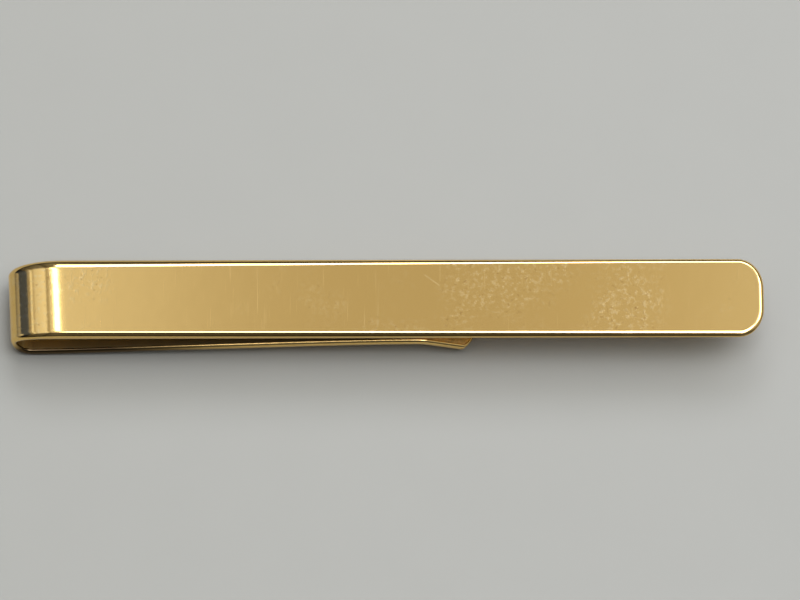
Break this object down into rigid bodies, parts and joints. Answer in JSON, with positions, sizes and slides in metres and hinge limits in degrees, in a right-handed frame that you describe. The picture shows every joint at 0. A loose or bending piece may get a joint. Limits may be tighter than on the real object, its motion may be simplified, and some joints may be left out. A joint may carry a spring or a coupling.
{
  "type": "tie bar",
  "caption": "Gold-coloured strip bent double into a slide-on tie bar: flat bevelled front with a rounded end, tight spring bend, bowed tongue and flared lip.",
  "frame": {"origin": "middle of the bounding box at the lowest point of the bend, with the front bar's face level on top", "axes": "+X along the bar from the bend to the free end, +Y across the bar, +Z out of the front face"},
  "size_m": [0.0582, 0.0064, 0.0044],
  "materials": {
    "polished_gold": "polished, gold-plated, with fine wear"
  },
  "bodies": {
    "spring": {"bend_heel": "polished_gold", "tongue_root": "polished_gold"},
    "front": {"front_bar": "polished_gold", "bend_shoulder": "polished_gold"},
    "tip": {"tongue_tip": "polished_gold", "flared_lip": "polished_gold"}
  },
  "joints": [
    {"name": "bend_flex", "type": "hinge", "parent": "spring", "child": "front", "pos_m": [-0.02915, 0, 0.0021], "axis": [0, -1, 0], "range_deg": [0, 4.5], "stiffness_Nm_per_rad": 1.8},
    {"name": "tongue_flex", "type": "hinge", "parent": "spring", "child": "tip", "pos_m": [-0.01505, 0, 0.00088], "axis": [0, 1, 0], "range_deg": [0, 1.5]}
  ],
  "couplings": [
    {"joint": "tongue_flex", "follows": "bend_flex", "ratio": 0.3}
  ]
}
